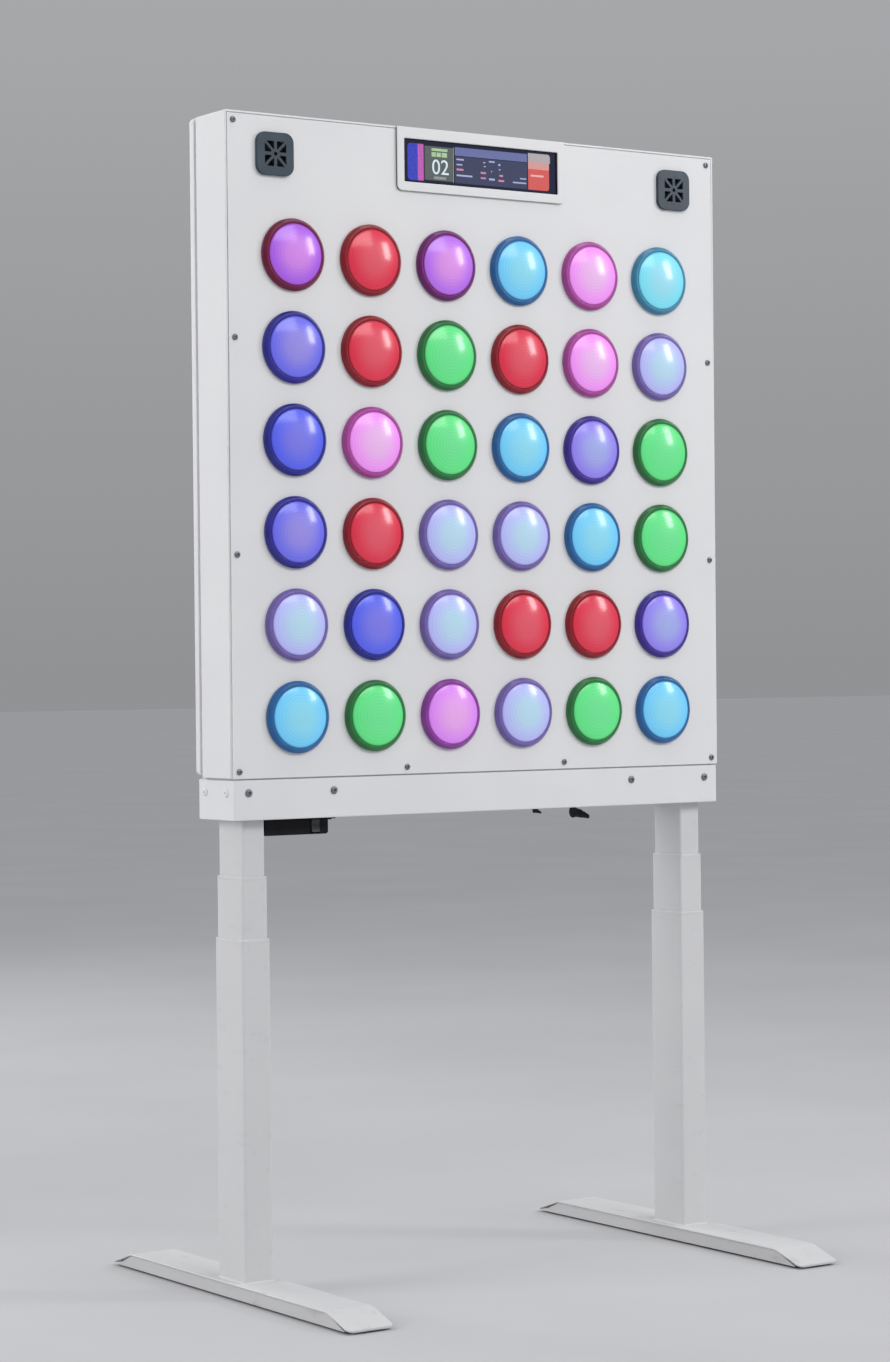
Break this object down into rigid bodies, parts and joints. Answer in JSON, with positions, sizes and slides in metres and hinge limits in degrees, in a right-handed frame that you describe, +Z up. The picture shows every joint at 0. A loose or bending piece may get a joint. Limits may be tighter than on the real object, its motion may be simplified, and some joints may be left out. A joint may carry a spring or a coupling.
{
  "type": "rhythm reaction game board",
  "caption": "Upright reaction and rhythm game board: lit dome buttons in a sheet-metal case, with display and speakers, on a height-adjustable two-column frame.",
  "frame": {"origin": "on the floor, at the middle of the frame between the four glides", "axes": "+Z up; the player stands on the -Y side; +X is the player's right"},
  "size_m": [0.933, 0.7, 1.788],
  "materials": {
    "white_powder_coat": "fine satin powder coat",
    "black_plastic": "matte moulded",
    "pale_bush_plastic": "matte moulded",
    "drive_steel": "machined",
    "screen_glass": "glossy screen",
    "grille_plastic": "satin moulded",
    "bezel_plastic": "glossy translucent, one colour for each button",
    "spring_steel": "drawn wire",
    "screw_steel": "plated",
    "board_laminate": "solder mask",
    "rocker_plastic": "satin moulded",
    "lens_red": "glossy translucent lens, lit",
    "lens_green": "glossy translucent lens, lit",
    "lens_sky": "glossy translucent lens, lit",
    "lens_pink": "glossy translucent lens, lit",
    "lens_violet": "glossy translucent lens, lit",
    "lens_indigo": "glossy translucent lens, lit",
    "lens_lilac": "glossy translucent lens, lit"
  },
  "bodies": {
    "base": {"feet": "white_powder_coat", "foot_glides": "black_plastic", "outer_tubes": "white_powder_coat", "outer_bushes": "pale_bush_plastic"},
    "mid_stage": {"middle_tubes": "white_powder_coat", "middle_bushes": "pale_bush_plastic"},
    "head": {"button_bezels": "bezel_plastic", "button_springs": "spring_steel", "button_switches": "black_plastic", "case_shell": "white_powder_coat", "column_frame": "white_powder_coat", "controller_board": "board_laminate", "display_bezel": "white_powder_coat", "display_module": "screen_glass", "fasteners": "screw_steel", "front_panel": "white_powder_coat", "inner_tubes": "white_powder_coat", "lift_control_box": "black_plastic", "lift_drives": "drive_steel", "rear_cover": "white_powder_coat", "skirt_band": "white_powder_coat", "speaker_drivers": "black_plastic", "speaker_grilles": "grille_plastic"},
    "rocker": {"lift_rocker": "rocker_plastic"},
    "dome_r1_c1": {"button_r1_c1": "lens_violet"},
    "dome_r1_c2": {"button_r1_c2": "lens_red"},
    "dome_r1_c3": {"button_r1_c3": "lens_violet"},
    "dome_r1_c4": {"button_r1_c4": "lens_sky"},
    "dome_r1_c5": {"button_r1_c5": "lens_pink"},
    "dome_r1_c6": {"button_r1_c6": "lens_sky"},
    "dome_r2_c1": {"button_r2_c1": "lens_indigo"},
    "dome_r2_c2": {"button_r2_c2": "lens_red"},
    "dome_r2_c3": {"button_r2_c3": "lens_green"},
    "dome_r2_c4": {"button_r2_c4": "lens_red"},
    "dome_r2_c5": {"button_r2_c5": "lens_pink"},
    "dome_r2_c6": {"button_r2_c6": "lens_lilac"},
    "dome_r3_c1": {"button_r3_c1": "lens_indigo"},
    "dome_r3_c2": {"button_r3_c2": "lens_pink"},
    "dome_r3_c3": {"button_r3_c3": "lens_green"},
    "dome_r3_c4": {"button_r3_c4": "lens_sky"},
    "dome_r3_c5": {"button_r3_c5": "lens_indigo"},
    "dome_r3_c6": {"button_r3_c6": "lens_green"},
    "dome_r4_c1": {"button_r4_c1": "lens_indigo"},
    "dome_r4_c2": {"button_r4_c2": "lens_red"},
    "dome_r4_c3": {"button_r4_c3": "lens_lilac"},
    "dome_r4_c4": {"button_r4_c4": "lens_lilac"},
    "dome_r4_c5": {"button_r4_c5": "lens_sky"},
    "dome_r4_c6": {"button_r4_c6": "lens_green"},
    "dome_r5_c1": {"button_r5_c1": "lens_lilac"},
    "dome_r5_c2": {"button_r5_c2": "lens_indigo"},
    "dome_r5_c3": {"button_r5_c3": "lens_lilac"},
    "dome_r5_c4": {"button_r5_c4": "lens_red"},
    "dome_r5_c5": {"button_r5_c5": "lens_red"},
    "dome_r5_c6": {"button_r5_c6": "lens_indigo"},
    "dome_r6_c1": {"button_r6_c1": "lens_sky"},
    "dome_r6_c2": {"button_r6_c2": "lens_green"},
    "dome_r6_c3": {"button_r6_c3": "lens_pink"},
    "dome_r6_c4": {"button_r6_c4": "lens_lilac"},
    "dome_r6_c5": {"button_r6_c5": "lens_green"},
    "dome_r6_c6": {"button_r6_c6": "lens_sky"}
  },
  "joints": [
    {"name": "mid_lift", "type": "slide", "parent": "base", "child": "mid_stage", "axis": [0, 0, 1], "range_m": [-0.08, 0.22]},
    {"name": "head_lift", "type": "slide", "parent": "mid_stage", "child": "head", "axis": [0, 0, 1], "range_m": [-0.08, 0.22]},
    {"name": "rocker_tilt", "type": "hinge", "parent": "head", "child": "rocker", "pos_m": [-0.303, -0.025, 0.71], "axis": [1, 0, 0], "range_deg": [-7, 7], "stiffness_Nm_per_rad": 0.04},
    {"name": "press_r1_c1", "type": "slide", "parent": "head", "child": "dome_r1_c1", "axis": [0, 1, 0], "range_m": [0, 0.0035], "stiffness_N_per_m": 400, "springref_m": -0.005, "deforming": ["button_springs"]},
    {"name": "press_r1_c2", "type": "slide", "parent": "head", "child": "dome_r1_c2", "axis": [0, 1, 0], "range_m": [0, 0.0035], "stiffness_N_per_m": 400, "springref_m": -0.005},
    {"name": "press_r1_c3", "type": "slide", "parent": "head", "child": "dome_r1_c3", "axis": [0, 1, 0], "range_m": [0, 0.0035], "stiffness_N_per_m": 400, "springref_m": -0.005},
    {"name": "press_r1_c4", "type": "slide", "parent": "head", "child": "dome_r1_c4", "axis": [0, 1, 0], "range_m": [0, 0.0035], "stiffness_N_per_m": 400, "springref_m": -0.005},
    {"name": "press_r1_c5", "type": "slide", "parent": "head", "child": "dome_r1_c5", "axis": [0, 1, 0], "range_m": [0, 0.0035], "stiffness_N_per_m": 400, "springref_m": -0.005},
    {"name": "press_r1_c6", "type": "slide", "parent": "head", "child": "dome_r1_c6", "axis": [0, 1, 0], "range_m": [0, 0.0035], "stiffness_N_per_m": 400, "springref_m": -0.005},
    {"name": "press_r2_c1", "type": "slide", "parent": "head", "child": "dome_r2_c1", "axis": [0, 1, 0], "range_m": [0, 0.0035], "stiffness_N_per_m": 400, "springref_m": -0.005},
    {"name": "press_r2_c2", "type": "slide", "parent": "head", "child": "dome_r2_c2", "axis": [0, 1, 0], "range_m": [0, 0.0035], "stiffness_N_per_m": 400, "springref_m": -0.005},
    {"name": "press_r2_c3", "type": "slide", "parent": "head", "child": "dome_r2_c3", "axis": [0, 1, 0], "range_m": [0, 0.0035], "stiffness_N_per_m": 400, "springref_m": -0.005},
    {"name": "press_r2_c4", "type": "slide", "parent": "head", "child": "dome_r2_c4", "axis": [0, 1, 0], "range_m": [0, 0.0035], "stiffness_N_per_m": 400, "springref_m": -0.005},
    {"name": "press_r2_c5", "type": "slide", "parent": "head", "child": "dome_r2_c5", "axis": [0, 1, 0], "range_m": [0, 0.0035], "stiffness_N_per_m": 400, "springref_m": -0.005},
    {"name": "press_r2_c6", "type": "slide", "parent": "head", "child": "dome_r2_c6", "axis": [0, 1, 0], "range_m": [0, 0.0035], "stiffness_N_per_m": 400, "springref_m": -0.005},
    {"name": "press_r3_c1", "type": "slide", "parent": "head", "child": "dome_r3_c1", "axis": [0, 1, 0], "range_m": [0, 0.0035], "stiffness_N_per_m": 400, "springref_m": -0.005},
    {"name": "press_r3_c2", "type": "slide", "parent": "head", "child": "dome_r3_c2", "axis": [0, 1, 0], "range_m": [0, 0.0035], "stiffness_N_per_m": 400, "springref_m": -0.005},
    {"name": "press_r3_c3", "type": "slide", "parent": "head", "child": "dome_r3_c3", "axis": [0, 1, 0], "range_m": [0, 0.0035], "stiffness_N_per_m": 400, "springref_m": -0.005},
    {"name": "press_r3_c4", "type": "slide", "parent": "head", "child": "dome_r3_c4", "axis": [0, 1, 0], "range_m": [0, 0.0035], "stiffness_N_per_m": 400, "springref_m": -0.005},
    {"name": "press_r3_c5", "type": "slide", "parent": "head", "child": "dome_r3_c5", "axis": [0, 1, 0], "range_m": [0, 0.0035], "stiffness_N_per_m": 400, "springref_m": -0.005},
    {"name": "press_r3_c6", "type": "slide", "parent": "head", "child": "dome_r3_c6", "axis": [0, 1, 0], "range_m": [0, 0.0035], "stiffness_N_per_m": 400, "springref_m": -0.005},
    {"name": "press_r4_c1", "type": "slide", "parent": "head", "child": "dome_r4_c1", "axis": [0, 1, 0], "range_m": [0, 0.0035], "stiffness_N_per_m": 400, "springref_m": -0.005},
    {"name": "press_r4_c2", "type": "slide", "parent": "head", "child": "dome_r4_c2", "axis": [0, 1, 0], "range_m": [0, 0.0035], "stiffness_N_per_m": 400, "springref_m": -0.005},
    {"name": "press_r4_c3", "type": "slide", "parent": "head", "child": "dome_r4_c3", "axis": [0, 1, 0], "range_m": [0, 0.0035], "stiffness_N_per_m": 400, "springref_m": -0.005},
    {"name": "press_r4_c4", "type": "slide", "parent": "head", "child": "dome_r4_c4", "axis": [0, 1, 0], "range_m": [0, 0.0035], "stiffness_N_per_m": 400, "springref_m": -0.005},
    {"name": "press_r4_c5", "type": "slide", "parent": "head", "child": "dome_r4_c5", "axis": [0, 1, 0], "range_m": [0, 0.0035], "stiffness_N_per_m": 400, "springref_m": -0.005},
    {"name": "press_r4_c6", "type": "slide", "parent": "head", "child": "dome_r4_c6", "axis": [0, 1, 0], "range_m": [0, 0.0035], "stiffness_N_per_m": 400, "springref_m": -0.005},
    {"name": "press_r5_c1", "type": "slide", "parent": "head", "child": "dome_r5_c1", "axis": [0, 1, 0], "range_m": [0, 0.0035], "stiffness_N_per_m": 400, "springref_m": -0.005},
    {"name": "press_r5_c2", "type": "slide", "parent": "head", "child": "dome_r5_c2", "axis": [0, 1, 0], "range_m": [0, 0.0035], "stiffness_N_per_m": 400, "springref_m": -0.005},
    {"name": "press_r5_c3", "type": "slide", "parent": "head", "child": "dome_r5_c3", "axis": [0, 1, 0], "range_m": [0, 0.0035], "stiffness_N_per_m": 400, "springref_m": -0.005},
    {"name": "press_r5_c4", "type": "slide", "parent": "head", "child": "dome_r5_c4", "axis": [0, 1, 0], "range_m": [0, 0.0035], "stiffness_N_per_m": 400, "springref_m": -0.005},
    {"name": "press_r5_c5", "type": "slide", "parent": "head", "child": "dome_r5_c5", "axis": [0, 1, 0], "range_m": [0, 0.0035], "stiffness_N_per_m": 400, "springref_m": -0.005},
    {"name": "press_r5_c6", "type": "slide", "parent": "head", "child": "dome_r5_c6", "axis": [0, 1, 0], "range_m": [0, 0.0035], "stiffness_N_per_m": 400, "springref_m": -0.005},
    {"name": "press_r6_c1", "type": "slide", "parent": "head", "child": "dome_r6_c1", "axis": [0, 1, 0], "range_m": [0, 0.0035], "stiffness_N_per_m": 400, "springref_m": -0.005},
    {"name": "press_r6_c2", "type": "slide", "parent": "head", "child": "dome_r6_c2", "axis": [0, 1, 0], "range_m": [0, 0.0035], "stiffness_N_per_m": 400, "springref_m": -0.005},
    {"name": "press_r6_c3", "type": "slide", "parent": "head", "child": "dome_r6_c3", "axis": [0, 1, 0], "range_m": [0, 0.0035], "stiffness_N_per_m": 400, "springref_m": -0.005},
    {"name": "press_r6_c4", "type": "slide", "parent": "head", "child": "dome_r6_c4", "axis": [0, 1, 0], "range_m": [0, 0.0035], "stiffness_N_per_m": 400, "springref_m": -0.005},
    {"name": "press_r6_c5", "type": "slide", "parent": "head", "child": "dome_r6_c5", "axis": [0, 1, 0], "range_m": [0, 0.0035], "stiffness_N_per_m": 400, "springref_m": -0.005},
    {"name": "press_r6_c6", "type": "slide", "parent": "head", "child": "dome_r6_c6", "axis": [0, 1, 0], "range_m": [0, 0.0035], "stiffness_N_per_m": 400, "springref_m": -0.005}
  ],
  "couplings": [
    {"joint": "mid_lift", "follows": "head_lift", "ratio": 1}
  ]
}
